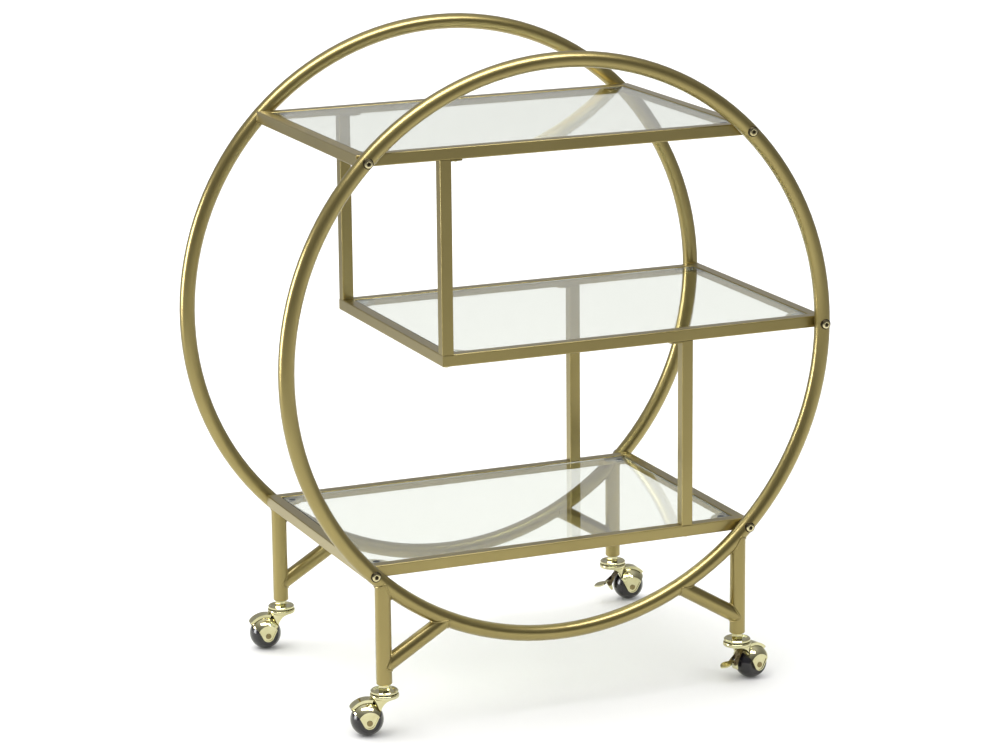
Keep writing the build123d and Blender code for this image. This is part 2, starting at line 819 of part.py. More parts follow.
def build_brake_bracket(caster):
    """Sheet bracket: a tab riveted in the hood's neck, a strap round the ball and two ears."""
    half_gap = bracket_gap / 2
    half_width = half_gap + bracket_sheet
    with BuildPart() as bracket:
        # tab flat against the neck's inner block, and the strap that follows the ball from its foot
        with BuildSketch(caster.side):
            tab_height = bracket_tab_foot + bracket_sheet
            with Locations((neck_hollow, plate_underside)):
                Rectangle(bracket_sheet, tab_height, align=(Align.MAX, Align.MAX))
            with BuildLine():
                strap_sweep = bracket_strap_end - bracket_strap_start
                outer = CenterArc((0, 0), strap_outer, bracket_strap_start, strap_sweep)
                inner = CenterArc((0, 0), strap_inner, bracket_strap_start, strap_sweep)
                Line(inner @ 0, outer @ 0)
                Line(inner @ 1, outer @ 1)
            make_face()
        extrude(amount=half_width, both=True)
        # ears from the strap's foot to the pin
        with BuildSketch(caster.side):
            with BuildLine():
                CenterArc(brake_pin_at, bracket_eye, 0, 360)
                for angle in (bracket_ear_start, bracket_strap_end):
                    at = (strap_middle * cos(radians(angle)), strap_middle * sin(radians(angle)))
                    CenterArc(at, bracket_sheet / 2, 0, 360)
            make_hull()
        extrude(amount=half_width, both=True)
        # space for the lever between the ears, outside the strap
        with BuildSketch(caster.side):
            Circle(strap_outer + 4 * bracket_eye)
            Circle(strap_outer, mode=Mode.SUBTRACT)
            with Locations((neck_hollow - 2 * bracket_sheet, 0)):
                leading = (Align.MAX, Align.CENTER)
                Rectangle(4 * strap_outer, 4 * strap_outer, align=leading, mode=Mode.INTERSECT)
        extrude(amount=half_gap, both=True, mode=Mode.SUBTRACT)
        with BuildSketch(caster.side):
            with BuildLine():
                ear_foot = radians(bracket_strap_end)
                Polyline(
                    (0, 0),
                    (2 * strap_outer * cos(ear_foot), 2 * strap_outer * sin(ear_foot)),
                    (2 * strap_outer * cos(ear_foot), -2 * strap_outer),
                    (0, -2 * strap_outer),
                    close=True,
                )
            make_face()
        extrude(amount=half_gap, both=True, mode=Mode.SUBTRACT)
        with BuildSketch(caster.side):
            with Locations(brake_pin_at):
                Circle(brake_pin_radius + fit_clearance)
        extrude(amount=half_width, both=True, mode=Mode.SUBTRACT)
    write(bracket, f"brake_bracket_{caster.name}")


def build_brake_lever(caster):
    """Pedal leaf, hub and the nose that presses on the ball."""
    eye_x, eye_y = brake_pin_at
    nose_centre = brake_nose_length - brake_nose_thickness / 2
    nose_turn = radians(brake_nose_angle)
    slope = radians(leaf_slope)
    outward = caster.side.x_dir * -cos(slope) + caster.side.y_dir * -sin(slope)
    upward = caster.side.x_dir * -sin(slope) + caster.side.y_dir * cos(slope)
    pin = caster.side.from_local_coords(Vector(eye_x, eye_y, 0))
    leaf_root_at = pin + upward * (brake_hub_radius - leaf_thickness)
    leaf_plane = Plane(origin=leaf_root_at, x_dir=outward, z_dir=upward)
    with BuildPart() as lever:
        with BuildSketch(caster.side):
            with BuildLine():
                CenterArc(brake_pin_at, brake_hub_radius, 0, 360)
                tip = (eye_x + nose_centre * cos(nose_turn), eye_y + nose_centre * sin(nose_turn))
                CenterArc(tip, brake_nose_thickness / 2, 0, 360)
            make_hull()
        extrude(amount=brake_hub_width / 2, both=True)
        with BuildSketch(leaf_plane):
            with BuildLine():
                belly = leaf_length * leaf_belly_at
                Line((0, leaf_root), (leaf_neck, leaf_root))
                Spline((leaf_neck, leaf_root), (belly, leaf_belly), (leaf_length, 0))
                Spline((leaf_length, 0), (belly, -leaf_belly), (leaf_neck, -leaf_root))
                Line((leaf_neck, -leaf_root), (0, -leaf_root))
                Line((0, -leaf_root), (0, leaf_root))
            make_face()
        extrude(amount=leaf_thickness)
        with BuildSketch(caster.side):
            with Locations(brake_pin_at):
                Circle(brake_pin_radius + fit_clearance)
        extrude(amount=brake_hub_width, both=True, mode=Mode.SUBTRACT)
    write(lever, f"brake_lever_{caster.name}")


def build_brake_pin(caster):
    """Plain pin through the bracket and the lever."""
    with BuildPart() as pin:
        with BuildSketch(caster.side):
            with Locations(brake_pin_at):
                Circle(brake_pin_radius)
        extrude(amount=bracket_gap / 2 + bracket_sheet + brake_pin_stick_out, both=True)
    write(pin, f"brake_pin_{caster.name}")


for caster in casters:
    build_hood(caster)
    build_wheel(caster)
    build_axle(caster)
    if caster.braked:
        build_brake_bracket(caster)
        build_brake_lever(caster)
        build_brake_pin(caster)
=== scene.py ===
"""Bar cart: two tube rings, three glass shelves and four hooded ball casters.

Metres. +X runs along the shelves, +Y from the front ring to the back ring, +Z up.
"""

import json
import logging
import math
from dataclasses import dataclass, field
from enum import Enum

import bmesh
import bpy
from mathutils import Matrix, Vector


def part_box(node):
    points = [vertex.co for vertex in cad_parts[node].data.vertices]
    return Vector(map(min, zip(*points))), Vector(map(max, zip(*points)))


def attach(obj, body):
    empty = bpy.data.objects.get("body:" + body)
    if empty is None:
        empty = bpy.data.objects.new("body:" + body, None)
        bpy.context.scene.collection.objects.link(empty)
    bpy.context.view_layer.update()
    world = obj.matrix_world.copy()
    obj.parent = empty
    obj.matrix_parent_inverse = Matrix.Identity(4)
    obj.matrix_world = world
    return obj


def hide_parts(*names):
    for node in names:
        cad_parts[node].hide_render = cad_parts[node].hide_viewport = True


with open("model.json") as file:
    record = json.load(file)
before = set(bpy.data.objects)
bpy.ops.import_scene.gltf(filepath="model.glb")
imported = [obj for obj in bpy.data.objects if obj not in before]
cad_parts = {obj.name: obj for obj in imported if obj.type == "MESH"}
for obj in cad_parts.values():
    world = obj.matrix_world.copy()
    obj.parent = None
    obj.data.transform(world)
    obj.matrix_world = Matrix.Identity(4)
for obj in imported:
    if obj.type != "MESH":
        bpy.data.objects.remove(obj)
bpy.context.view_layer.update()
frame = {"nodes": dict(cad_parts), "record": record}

log = logging.getLogger("bar_cart")

FULL_TURN = 2 * math.pi
MERGE_DISTANCE = 1e-6

Colour = tuple[float, float, float]
Triple = tuple[float, float, float]
Span = tuple[float, float]
Socket = bpy.types.NodeSocket


class Level(Enum):
    """The three shelves, by the first word of their nodes' names."""

    TOP = "top"
    MIDDLE = "middle"
    BOTTOM = "bottom"


class Stand(Enum):
    """The four legs and casters, by the last words of their nodes' names."""

    FRONT_LEFT = "front_left"
    FRONT_RIGHT = "front_right"
    BACK_LEFT = "back_left"
    BACK_RIGHT = "back_right"

    @property
    def ring(self) -> str:
        """The node of the ring that this leg is welded under."""
        return self.value.split("_")[0] + "_ring"

    @property
    def way(self) -> float:
        """Which end of the cart the leg stands at, along X."""
        return -1.0 if self.value.endswith("left") else 1.0


def srgb(red: int, green: int, blue: int) -> Colour:
    """Turn a display colour into the linear colour that shaders use.

    Args:
        red: Red, 0 to 255.
        green: Green, 0 to 255.
        blue: Blue, 0 to 255.

    Returns:
        The linear colour.
    """

    def linear(value: int) -> float:
        """Linear value of one channel."""
        share = value / 255
        return share / 12.92 if share <= 0.04045 else ((share + 0.055) / 1.055) ** 2.4

    return linear(red), linear(green), linear(blue)


def nodes_in_slot(slot: str) -> list[str]:
    """Names of the nodes that a slot of the record covers."""
    return [part["node"] for part in frame["record"]["subparts"] if part["material_slot"] == slot]


def middle_of(node: str) -> Vector:
    """Middle of a node's box."""
    low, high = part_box(node)
    return (low + high) / 2


@dataclass(frozen=True)
class Clouds:
    """A cloudy pattern: clouds per metre, octaves, and how strong the finer octaves are."""

    scale: float
    octaves: float
    rough: float = 0.5


class Shader:
    """A material under construction, with the few kinds of node that the finishes need."""

    def __init__(self, name: str) -> None:
        """Make a material with one Principled shader.

        Args:
            name: The material's name.
        """
        self.material = bpy.data.materials.new(name)
        self.material.use_nodes = True
        self.tree = self.material.node_tree
        self.tree.nodes.clear()
        self.output = self.tree.nodes.new("ShaderNodeOutputMaterial")
        self.surface = self.tree.nodes.new("ShaderNodeBsdfPrincipled")
        self.tree.links.new(self.surface.outputs["BSDF"], self.output.inputs["Surface"])
        self.place = self.tree.nodes.new("ShaderNodeTexCoord").outputs["Object"]

    def set(self, **values: float | Colour) -> None:
        """Set sockets of the Principled shader.

        Args:
            values: A value for each socket; an underscore in a name stands for a space.
        """
        for name, value in values.items():
            socket = self.surface.inputs[name.replace("_", " ")]
            socket.default_value = (*value, 1.0) if isinstance(value, tuple) else value

    def feed(self, name: str, value: Socket) -> None:
        """Link a pattern to one of the Principled shader's sockets."""
        self.tree.links.new(value, self.surface.inputs[name])

    def stretched(self, scale: Triple) -> Socket:
        """Object coordinates multiplied by a factor on each axis.

        Args:
            scale: The factors.

        Returns:
            The coordinates.
        """
        mapping = self.tree.nodes.new("ShaderNodeMapping")
        mapping.inputs["Scale"].default_value = scale
        self.tree.links.new(self.place, mapping.inputs["Vector"])
        return mapping.outputs["Vector"]

    def noise(self, clouds: Clouds, where: Socket | None = None) -> Socket:
        """A cloudy pattern from 0 to 1.

        Args:
            clouds: The pattern's sizes.
            where: Coordinates, or None for the object's own.

        Returns:
            The pattern's value.
        """
        node = self.tree.nodes.new("ShaderNodeTexNoise")
        node.inputs["Scale"].default_value = clouds.scale
        node.inputs["Detail"].default_value = clouds.octaves
        node.inputs["Roughness"].default_value = clouds.rough
        self.tree.links.new(where or self.place, node.inputs["Vector"])
        return node.outputs["Fac"]

    def cells(self, scale: float) -> Socket:
        """Fine cells, each with its own random value, like metal flake in paint.

        Args:
            scale: Cells per metre.

        Returns:
            The cells' values, 0 to 1.
        """
        node = self.tree.nodes.new("ShaderNodeTexVoronoi")
        node.inputs["Scale"].default_value = scale
        self.tree.links.new(self.place, node.inputs["Vector"])
        split = self.tree.nodes.new("ShaderNodeSeparateColor")
        self.tree.links.new(node.outputs["Color"], split.inputs["Color"])
        return split.outputs["Red"]

    def spread(
        self, value: Socket, low: float, high: float, start: float = 0.3, end: float = 0.7
    ) -> Socket:
        """Map a pattern's middle range onto a range of values.

        Args:
            value: The pattern.
            low: Result at start.
            high: Result at end.
            start: Pattern value that gives low.
            end: Pattern value that gives high.

        Returns:
            The mapped value.
        """
        node = self.tree.nodes.new("ShaderNodeMapRange")
        node.inputs["From Min"].default_value = start
        node.inputs["From Max"].default_value = end
        node.inputs["To Min"].default_value = low
        node.inputs["To Max"].default_value = high
        self.tree.links.new(value, node.inputs["Value"])
        return node.outputs["Result"]

    def blend(self, share: Socket, first: Colour, second: Colour) -> Socket:
        """Mix two colours.

        Args:
            share: How much of the second colour.
            first: Colour at 0.
            second: Colour at 1.

        Returns:
            The mixed colour.
        """
        node = self.tree.nodes.new("ShaderNodeMix")
        node.data_type = "RGBA"
        node.inputs["A"].default_value = (*first, 1.0)
        node.inputs["B"].default_value = (*second, 1.0)
        self.tree.links.new(share, node.inputs["Factor"])
        return node.outputs["Result"]

    def mix(self, share: Socket, first: Colour, second: Socket) -> Socket:
        """Mix a colour with a pattern's colour.

        Args:
            share: How much of the pattern.
            first: Colour at 0.
            second: The pattern's colour.

        Returns:
            The mixed colour.
        """
        mixed = self.blend(share, first, first)
        self.tree.links.new(second, mixed.node.inputs["B"])
        return mixed

    def bump(self, height: Socket, depth: float, strength: float) -> None:
        """Raise and sink the surface by a pattern.

        Args:
            height: The pattern.
            depth: Height of the pattern's full range, in metres.
            strength: Share of the bump that shows.
        """
        node = self.tree.nodes.new("ShaderNodeBump")
        node.inputs["Distance"].default_value = depth
        node.inputs["Strength"].default_value = strength
        self.tree.links.new(height, node.inputs["Height"])
        self.feed("Normal", node.outputs["Normal"])


@dataclass(frozen=True)
class SatinPaint:
    """Baked satin paint: fine metal flake under a thin clear coat, over faint orange peel."""

    name: str
    tone: Colour
    shade: Colour
    metallic: float = 0.92
    roughness: Span = (0.29, 0.33)
    coat: float = 0.6
    coat_roughness: float = 0.2
    drift: Clouds = Clouds(7.0, 3.0)
    flake_scale: float = 3400.0
    peel: Clouds = Clouds(1300.0, 2.0)
    peel_depth: float = 0.000008
    peel_strength: float = 0.5

    def material(self) -> bpy.types.Material:
        """Build the paint.

        Returns:
            The paint.
        """
        shader = Shader(self.name)
        shader.set(Metallic=self.metallic)
        shader.set(Coat_Weight=self.coat, Coat_Roughness=self.coat_roughness)
        drift = shader.spread(shader.noise(self.drift), 0.0, 1.0)
        shader.feed("Base Color", shader.blend(drift, self.tone, self.shade))
        flake = shader.cells(self.flake_scale)
        shader.feed("Roughness", shader.spread(flake, *self.roughness, start=0.0, end=1.0))
        shader.bump(shader.noise(self.peel), self.peel_depth, self.peel_strength)
        return shader.material


@dataclass(frozen=True)
class PolishedMetal:
    """Bright plated metal with faint polishing lines and cloudy tarnish."""

    name: str
    tone: Colour
    shade: Colour
    roughness: Span = (0.05, 0.13)
    tarnish: Clouds = Clouds(60.0, 4.0)
    tarnish_span: Span = (0.35, 0.75)
    smear: Clouds = Clouds(140.0, 5.0, 0.65)
    lines: Clouds = Clouds(900.0, 2.0)
    line_stretch: Triple = (1.0, 1.0, 6.0)
    line_depth: float = 0.00001
    line_strength: float = 0.4

    def material(self) -> bpy.types.Material:
        """Build the metal.

        Returns:
            The metal.
        """
        shader = Shader(self.name)
        shader.set(Metallic=1.0)
        tarnish = shader.spread(shader.noise(self.tarnish), 0.0, 1.0, *self.tarnish_span)
        shader.feed("Base Color", shader.blend(tarnish, self.tone, self.shade))
        smear = shader.noise(self.smear)
        shader.feed("Roughness", shader.spread(smear, *self.roughness))
        lines = shader.noise(self.lines, where=shader.stretched(self.line_stretch))
        shader.bump(lines, self.line_depth, self.line_strength)
        return shader.material


@dataclass(frozen=True)
class ClearSheet:
    """Clear glass or clear plastic, with faint smears on its faces."""

    name: str
    tint: Colour
    roughness: Span = (0.0, 0.025)
    index: float = 1.5
    through: float = 1.0
    smear: Clouds = Clouds(9.0, 6.0, 0.7)
    smear_span: Span = (0.45, 0.8)
    drift: Clouds = Clouds(3.0, 2.0)
    drift_tint: float = 0.985

    def material(self) -> bpy.types.Material:
        """Build the clear material.

        Returns:
            The clear material.
        """
        shader = Shader(self.name)
        shader.set(Transmission_Weight=self.through, IOR=self.index)
        smear = shader.noise(self.smear)
        shader.feed("Roughness", shader.spread(smear, *self.roughness, *self.smear_span))
        deeper = tuple(channel * self.drift_tint for channel in self.tint)
        drift = shader.spread(shader.noise(self.drift), 0.0, 1.0)
        shader.feed("Base Color", shader.blend(drift, self.tint, deeper))
        return shader.material


@dataclass(frozen=True)
class MouldedPlastic:
    """Hard glossy moulding with faint flow marks and fine scuffs."""

    name: str
    tone: Colour
    shade: Colour
    roughness: Span = (0.2, 0.34)
    coat: float = 0.4
    coat_roughness: float = 0.1
    flow: Clouds = Clouds(45.0, 4.0, 0.6)
    scuffs: Clouds = Clouds(220.0, 4.0)
    grain: Clouds = Clouds(320.0, 3.0)
    grain_depth: float = 0.00002
    grain_strength: float = 0.35

    def material(self) -> bpy.types.Material:
        """Build the plastic.

        Returns:
            The plastic.
        """
        shader = Shader(self.name)
        shader.set(Coat_Weight=self.coat, Coat_Roughness=self.coat_roughness)
        flow = shader.spread(shader.noise(self.flow), 0.0, 1.0)
        shader.feed("Base Color", shader.blend(flow, self.tone, self.shade))
        shader.feed("Roughness", shader.spread(shader.noise(self.scuffs), *self.roughness))
        shader.bump(shader.noise(self.grain), self.grain_depth, self.grain_strength)
        return shader.material


FRAME_PAINT = SatinPaint("satin_brass_paint", srgb(163, 148, 93), srgb(153, 138, 85))
CASTER_BRASS = PolishedMetal(
    "polished_pale_brass", srgb(224, 219, 180), srgb(206, 199, 154), (0.03, 0.09)
)
BOLT_BRASS = PolishedMetal(
    "bright_bolt_brass", srgb(226, 216, 176), srgb(204, 190, 142), (0.08, 0.16)
)
DARK_STEEL = PolishedMetal(
    "dark_bronze_steel", srgb(112, 100, 74), srgb(78, 68, 50), (0.2, 0.34)
)
# Dark brass for the ring bolts' sockets and rims, painted there as shade.
PAINTED_SHADE_BRASS = PolishedMetal("bolt_brass_painted_shade", srgb(70, 62, 44), srgb(52, 46, 32), (0.3, 0.45))
# Brushed brass, darkened for the axle ends: the darker tone is painted shade of the recess they
# sit in.
AXLE_PAINTED_SHADE_BRASS = PolishedMetal(
    "brushed_axle_brass_painted_shade", srgb(150, 136, 98), srgb(118, 106, 74), (0.22, 0.36)
)
PLAIN_STEEL = PolishedMetal(
    "plain_zinc_steel", srgb(188, 190, 188), srgb(160, 160, 156), (0.2, 0.34)
)
SHELF_GLASS = ClearSheet("clear_float_glass", srgb(234, 237, 230))
GLASS_EDGE = ClearSheet("ground_glass_edge", srgb(176, 204, 190), (0.12, 0.22))
SOFT_PAD = ClearSheet("clear_soft_pad", srgb(240, 243, 241), (0.18, 0.32), 1.43, 0.55)
WHEEL_BLACK = MouldedPlastic(
    "black_wheel_plastic", srgb(22, 20, 26), srgb(28, 26, 32), (0.16, 0.28)
)


def dress(node: str, material: bpy.types.Material) -> None:
    """Put a material on every slot of a node that keeps its own shape.

    Args:
        node: The node's name.
        material: What it is made of.
    """
    for slot in frame["nodes"][node].material_slots:
        slot.material = material
    log.info("%s: dressed in %s", node, material.name)


def finished(
    name: str, shape: bmesh.types.BMesh, materials: list[bpy.types.Material], crease: float = 35.0
) -> bpy.types.Object:
    """Clean a mesh, shade it and make it an object that rides on the frame.

    Args:
        name: The piece's name.
        shape: Its mesh, which is freed.
        materials: One material for each material index.
        crease: Angle in degrees past which an edge stays sharp.

    Returns:
        The piece.
    """
    bmesh.ops.remove_doubles(shape, verts=shape.verts, dist=MERGE_DISTANCE)
    bmesh.ops.recalc_face_normals(shape, faces=shape.faces)
    data = bpy.data.meshes.new(name)
    shape.to_mesh(data)
    shape.free()
    data.shade_smooth()
    data.set_sharp_from_angle(angle=math.radians(crease))
    for material in materials:
        data.materials.append(material)
    piece = bpy.data.objects.new(name, data)
    bpy.context.collection.objects.link(piece)
    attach(piece, "frame")
    log.info("%s: %d faces", name, len(data.polygons))
    return piece


@dataclass
class ShelfGlass:
    """One glass pane: ground arrises all round and rounded corners."""

    level: Level
    corner: float = 0.002
    corner_segments: int = 5
    arris: float = 0.0006
    arris_segments: int = 2
    crease: float = 10.0
    level_normal: float = 0.999
    upright_share: float = 0.9

    def build(self, clear: bpy.types.Material, ground: bpy.types.Material) -> bpy.types.Object:
        """Make the pane in place of its node.

        Args:
            clear: Glass seen through its faces.
            ground: Glass of the ground edges.

        Returns:
            The pane.
        """
        node = f"{self.level.value}_glass"
        low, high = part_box(node)
        shape = bmesh.new()
        bmesh.ops.create_cube(shape, size=1.0)
        bmesh.ops.scale(shape, vec=high - low, verts=shape.verts)
        bmesh.ops.translate(shape, vec=(low + high) / 2, verts=shape.verts)
        upright = [edge for edge in shape.edges if self.is_upright(edge)]
        bevel(shape, upright, self.corner, self.corner_segments)
        rims = [edge for edge in shape.edges if not self.is_upright(edge)]
        bevel(shape, rims, self.arris, self.arris_segments)
        for face in shape.faces:
            face.normal_update()
            face.material_index = 0 if abs(face.normal.z) > self.level_normal else 1
        pane = finished(f"{node}_pane", shape, [clear, ground], self.crease)
        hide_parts(node)
        return pane

    def is_upright(self, edge: bmesh.types.BMEdge) -> bool:
        """Whether an edge stands upright."""
        run = edge.verts[1].co - edge.verts[0].co
        return abs(run.z) > self.upright_share * run.length


def bevel(
    shape: bmesh.types.BMesh, edges: list[bmesh.types.BMEdge], width: float, segments: int
) -> None:
    """Round some edges of a mesh.

    Args:
        shape: The mesh.
        edges: The edges to round.
        width: Distance from the edge to the round's ends.
        segments: Faces across the round.
    """
    bmesh.ops.bevel(
        shape,
        geom=edges,
        offset=width,
        offset_type="OFFSET",
        segments=segments,
        profile=0.5,
        affect="EDGES",
        clamp_overlap=True,
        material=-1,
    )


def islands(shape: bmesh.types.BMesh) -> list[set[bmesh.types.BMVert]]:
    """Split a mesh into its separate lumps.

    Args:
        shape: The mesh.

    Returns:
        The vertices of each lump.
    """
    left = set(shape.verts)
    lumps = []
    while left:
        lump = {left.pop()}
        edge = list(lump)
        while edge:
            near = {link.other_vert(vert) for vert in edge for link in vert.link_edges} - lump
            lump |= near
            edge = list(near)
        left -= lump
        lumps.append(lump)
    return lumps


@dataclass
class RingBolts:
    """The bolts through the rings: bright domed heads, with dark brass painted as shade in the
    socket and rim.
    """

    socket: float = 0.0027
    rim: float = 0.0054

    def build(self, bright: bpy.types.Material, painted_shade: bpy.types.Material) -> bpy.types.Object:
        """Make the bolts in place of their node, in the same shape.

        Args:
            bright: Metal of the domes.
            painted_shade: Dark brass painted on the sockets and rims as shade.

        Returns:
            The bolts.
        """
        source = frame["nodes"]["ring_bolts"]
        shape = bmesh.new()
        shape.from_mesh(source.data)
        bmesh.ops.transform(shape, matrix=source.matrix_world, verts=shape.verts)
        bmesh.ops.remove_doubles(shape, verts=shape.verts, dist=MERGE_DISTANCE)
        for bolt in islands(shape):
            self.mark(bolt)
        bolts = finished("ring_bolts_domed", shape, [bright, painted_shade])
        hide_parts("ring_bolts")
        return bolts

    def mark(self, bolt: set[bmesh.types.BMVert]) -> None:
        """Paint shade on the socket and the rim of one bolt with the second, dark material.

        Args:
            bolt: The bolt's vertices.
        """
        axis_x = (min(vert.co.x for vert in bolt) + max(vert.co.x for vert in bolt)) / 2
        axis_z = (min(vert.co.z for vert in bolt) + max(vert.co.z for vert in bolt)) / 2
        for face in {face for vert in bolt for face in vert.link_faces}:
            middle = face.calc_center_median()
            reach = math.hypot(middle.x - axis_x, middle.z - axis_z)
            # The socket and the rim take the dark brass: painted shade.
            face.material_index = 0 if self.socket < reach < self.rim else 1


@dataclass
class GlassPads:
    """The clear pads between the corner tabs and the panes: thin discs with a shallow dish."""

    segments: int = 40
    rim: float = 0.0003
    rim_segments: int = 2
    lip: float = 0.0012
    dish: float = 0.00012
    crease: float = 20.0

    def build(self, material: bpy.types.Material) -> bpy.types.Object:
        """Make all the pads in place of their node.

        Args:
            material: What they are made of.

        Returns:
            The pads.
        """
        source = bmesh.new()
        source.from_mesh(frame["nodes"]["glass_pads"].data)
        bmesh.ops.remove_doubles(source, verts=source.verts, dist=MERGE_DISTANCE)
        shape = bmesh.new()
        for pad in islands(source):
            self.add_pad(shape, [vert.co for vert in pad])
        source.free()
        pads = finished("glass_pads_dished", shape, [material], self.crease)
        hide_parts("glass_pads")
        return pads

    def add_pad(self, shape: bmesh.types.BMesh, corners: list[Vector]) -> None:
        """Add one pad that fills the box round some points.

        Args:
            shape: The mesh that holds the pads.
            corners: Points of the plain pad that it stands in for.
        """
        low = Vector([min(corner[axis] for corner in corners) for axis in range(3)])
        high = Vector([max(corner[axis] for corner in corners) for axis in range(3)])
        radius = (high.x - low.x) / 2
        made = bmesh.ops.create_cone(
            shape,
            cap_ends=True,
            segments=self.segments,
            radius1=radius,
            radius2=radius,
            depth=high.z - low.z,
            matrix=Matrix.Translation((low + high) / 2),
        )
        faces = {face for vert in made["verts"] for face in vert.link_faces}
        caps = [face for face in faces if len(face.verts) == self.segments]
        rims = {edge for face in caps for edge in face.edges}
        lower = min(caps, key=lambda face: face.calc_center_median().z)
        bmesh.ops.inset_region(shape, faces=[lower], thickness=self.lip)
        bmesh.ops.translate(shape, vec=(0.0, 0.0, self.dish), verts=lower.verts)
        bevel(shape, list(rims), self.rim, self.rim_segments)


@dataclass
class WeldBeads:
    """The weld round each leg and brace end, and the dressed seams of the shelf frames' mitres."""

    tube: float = 0.010
    bead: float = 0.0013
    ripple: float = 0.12
    ripples: int = 34
    brace_foot: float = 0.0865
    brace_reach: float = 0.160
    seam: float = 0.0007
    seam_sink: float = 0.00042
    seam_gap: float = 0.0012
    seam_steps: int = 16
    rail: float = 0.015
    roundness: int = 2
    crease: float = 80.0

    def ring_point(self, stand: Stand, x: float) -> tuple[Vector, Vector]:
        """A point on the ring's centreline, low down, and the ring's direction there.

        Args:
            stand: Which leg's ring.
            x: Where along X.

        Returns:
            The point and the direction.
        """
        low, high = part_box(stand.ring)
        middle = (low + high) / 2
        radius = (high.x - low.x) / 2 - self.tube
        drop = math.sqrt(radius**2 - x**2)
        return Vector((x, middle.y, middle.z - drop)), Vector((drop, 0.0, x)).normalized()

    def saddle(self, corner: Vector, branch: Vector, run: Vector) -> list[Vector]:
        """The closed line where a round tube ends on another of the same radius.

        Args:
            corner: Where the two centrelines meet.
            branch: Direction of the ending tube, away from the other.
            run: Direction of the other tube.

        Returns:
            Points along the line, two for each ripple of the weld.
        """
        along = branch.normalized()
        side = along.cross(run).normalized()
        out = run.cross(side).normalized()
        if out.dot(along) < 0:
            out = -out
        across = side.cross(along).normalized()
        points = []
        for step in range(2 * self.ripples):
            angle = FULL_TURN * step / (2 * self.ripples)
            reach = abs(math.cos(angle)) - math.cos(angle) * across.dot(out)
            ahead = along * (self.tube * reach / along.dot(out))
            round_tube = across * math.cos(angle) + side * math.sin(angle)
            points.append(corner + ahead + round_tube * self.tube)
        return points

    def add_bead(
        self, shape: bmesh.types.BMesh, points: list[Vector], radius: float, closed: bool
    ) -> None:
        """Lay one bead along a line.

        Args:
            shape: The mesh that holds the beads.
            points: The line.
            radius: The bead's radius.
            closed: Whether the line comes back to its start.
        """
        curve = bpy.data.curves.new("bead", "CURVE")
        curve.dimensions = "3D"
        curve.bevel_depth = radius
        curve.bevel_resolution = self.roundness
        curve.use_fill_caps = not closed
        spline = curve.splines.new("POLY")
        spline.points.add(len(points) - 1)
        for number, (knot, point) in enumerate(zip(spline.points, points)):
            knot.co = (*point, 1.0)
            knot.radius = 1.0 - self.ripple * (number % 2)
        spline.use_cyclic_u = closed
        rod = bpy.data.objects.new("bead", curve)
        mesh = bpy.data.meshes.new_from_object(rod)
        shape.from_mesh(mesh)
        bpy.data.objects.remove(rod)
        bpy.data.curves.remove(curve)
        bpy.data.meshes.remove(mesh)

    def build_joint_welds(self, paint: bpy.types.Material) -> bpy.types.Object:
        """Weld the legs and braces.

        Args:
            paint: The frame's paint, which covers the welds.

        Returns:
            The welds.
        """
        shape = bmesh.new()
        for stand in Stand:
            leg = middle_of(f"leg_{stand.value}")
            top, ring_run = self.ring_point(stand, leg.x)
            upright = Vector((0.0, 0.0, 1.0))
            self.add_bead(shape, self.saddle(top, -upright, ring_run), self.bead, True)
            foot = Vector((leg.x, leg.y, self.brace_foot))
            head, head_run = self.ring_point(stand, stand.way * self.brace_reach)
            self.add_bead(shape, self.saddle(foot, head - foot, upright), self.bead, True)
            self.add_bead(shape, self.saddle(head, foot - head, head_run), self.bead, True)
        welds = finished("leg_and_brace_welds", shape, [paint], self.crease)
        return welds

    def add_seam(self, shape: bmesh.types.BMesh, start: Vector, end: Vector) -> None:
        """Lay one ground-down seam along a straight line.

        Args:
            shape: The mesh that holds the seams.
            start: Where it starts.
            end: Where it ends.
        """
        steps = self.seam_steps
        line = [start.lerp(end, step / steps) for step in range(steps + 1)]
        self.add_bead(shape, line, self.seam, False)

    def build_mitre_seams(self, paint: bpy.types.Material) -> bpy.types.Object:
        """Lay the ground-down weld seams over the shelf frames' mitred corners.

        Args:
            paint: The frame's paint, which covers the seams.

        Returns:
            The seams.
        """
        shape = bmesh.new()
        for level in Level:
            low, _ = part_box(f"{level.value}_front_rail")
            _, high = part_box(f"{level.value}_back_rail")
            for x, way_x in ((low.x, 1.0), (high.x, -1.0)):
                for y, way_y in ((low.y, 1.0), (high.y, -1.0)):
                    inward = Vector((way_x, way_y, 0.0))
                    start = Vector((x, y, high.z - self.seam_sink)) + inward * self.seam_gap
                    end = start + inward * (self.rail - 2 * self.seam_gap)
                    self.add_seam(shape, start, end)
                    foot = Vector((x, y, low.z + self.seam_gap)) + inward * self.seam_sink
                    head = Vector((foot.x, foot.y, high.z - self.seam_gap))
                    self.add_seam(shape, foot, head)
        seams = finished("mitre_seams", shape, [paint], self.crease)
        return seams


def mirrored(tree: bpy.types.NodeTree) -> Socket:
    """Give 1 for rays that come off a shiny surface and 0 for all others, refracted ones too.

    Args:
        tree: The shader's node tree.

    Returns:
        The 0 or 1.
    """
    ray = tree.nodes.new("ShaderNodeLightPath")
    share = tree.nodes.new("ShaderNodeMath")
    share.operation = "SUBTRACT"
    share.use_clamp = True
    tree.links.new(ray.outputs["Is Glossy Ray"], share.inputs[0])
    tree.links.new(ray.outputs["Is Transmission Ray"], share.inputs[1])
    return share.outputs["Value"]


@dataclass(frozen=True)
class SoftBox:
    """A rectangular soft light: where it hangs, its sizes in metres and its power in watts."""

    name: str
    place: Triple
    width: float
    height: float
    power: float


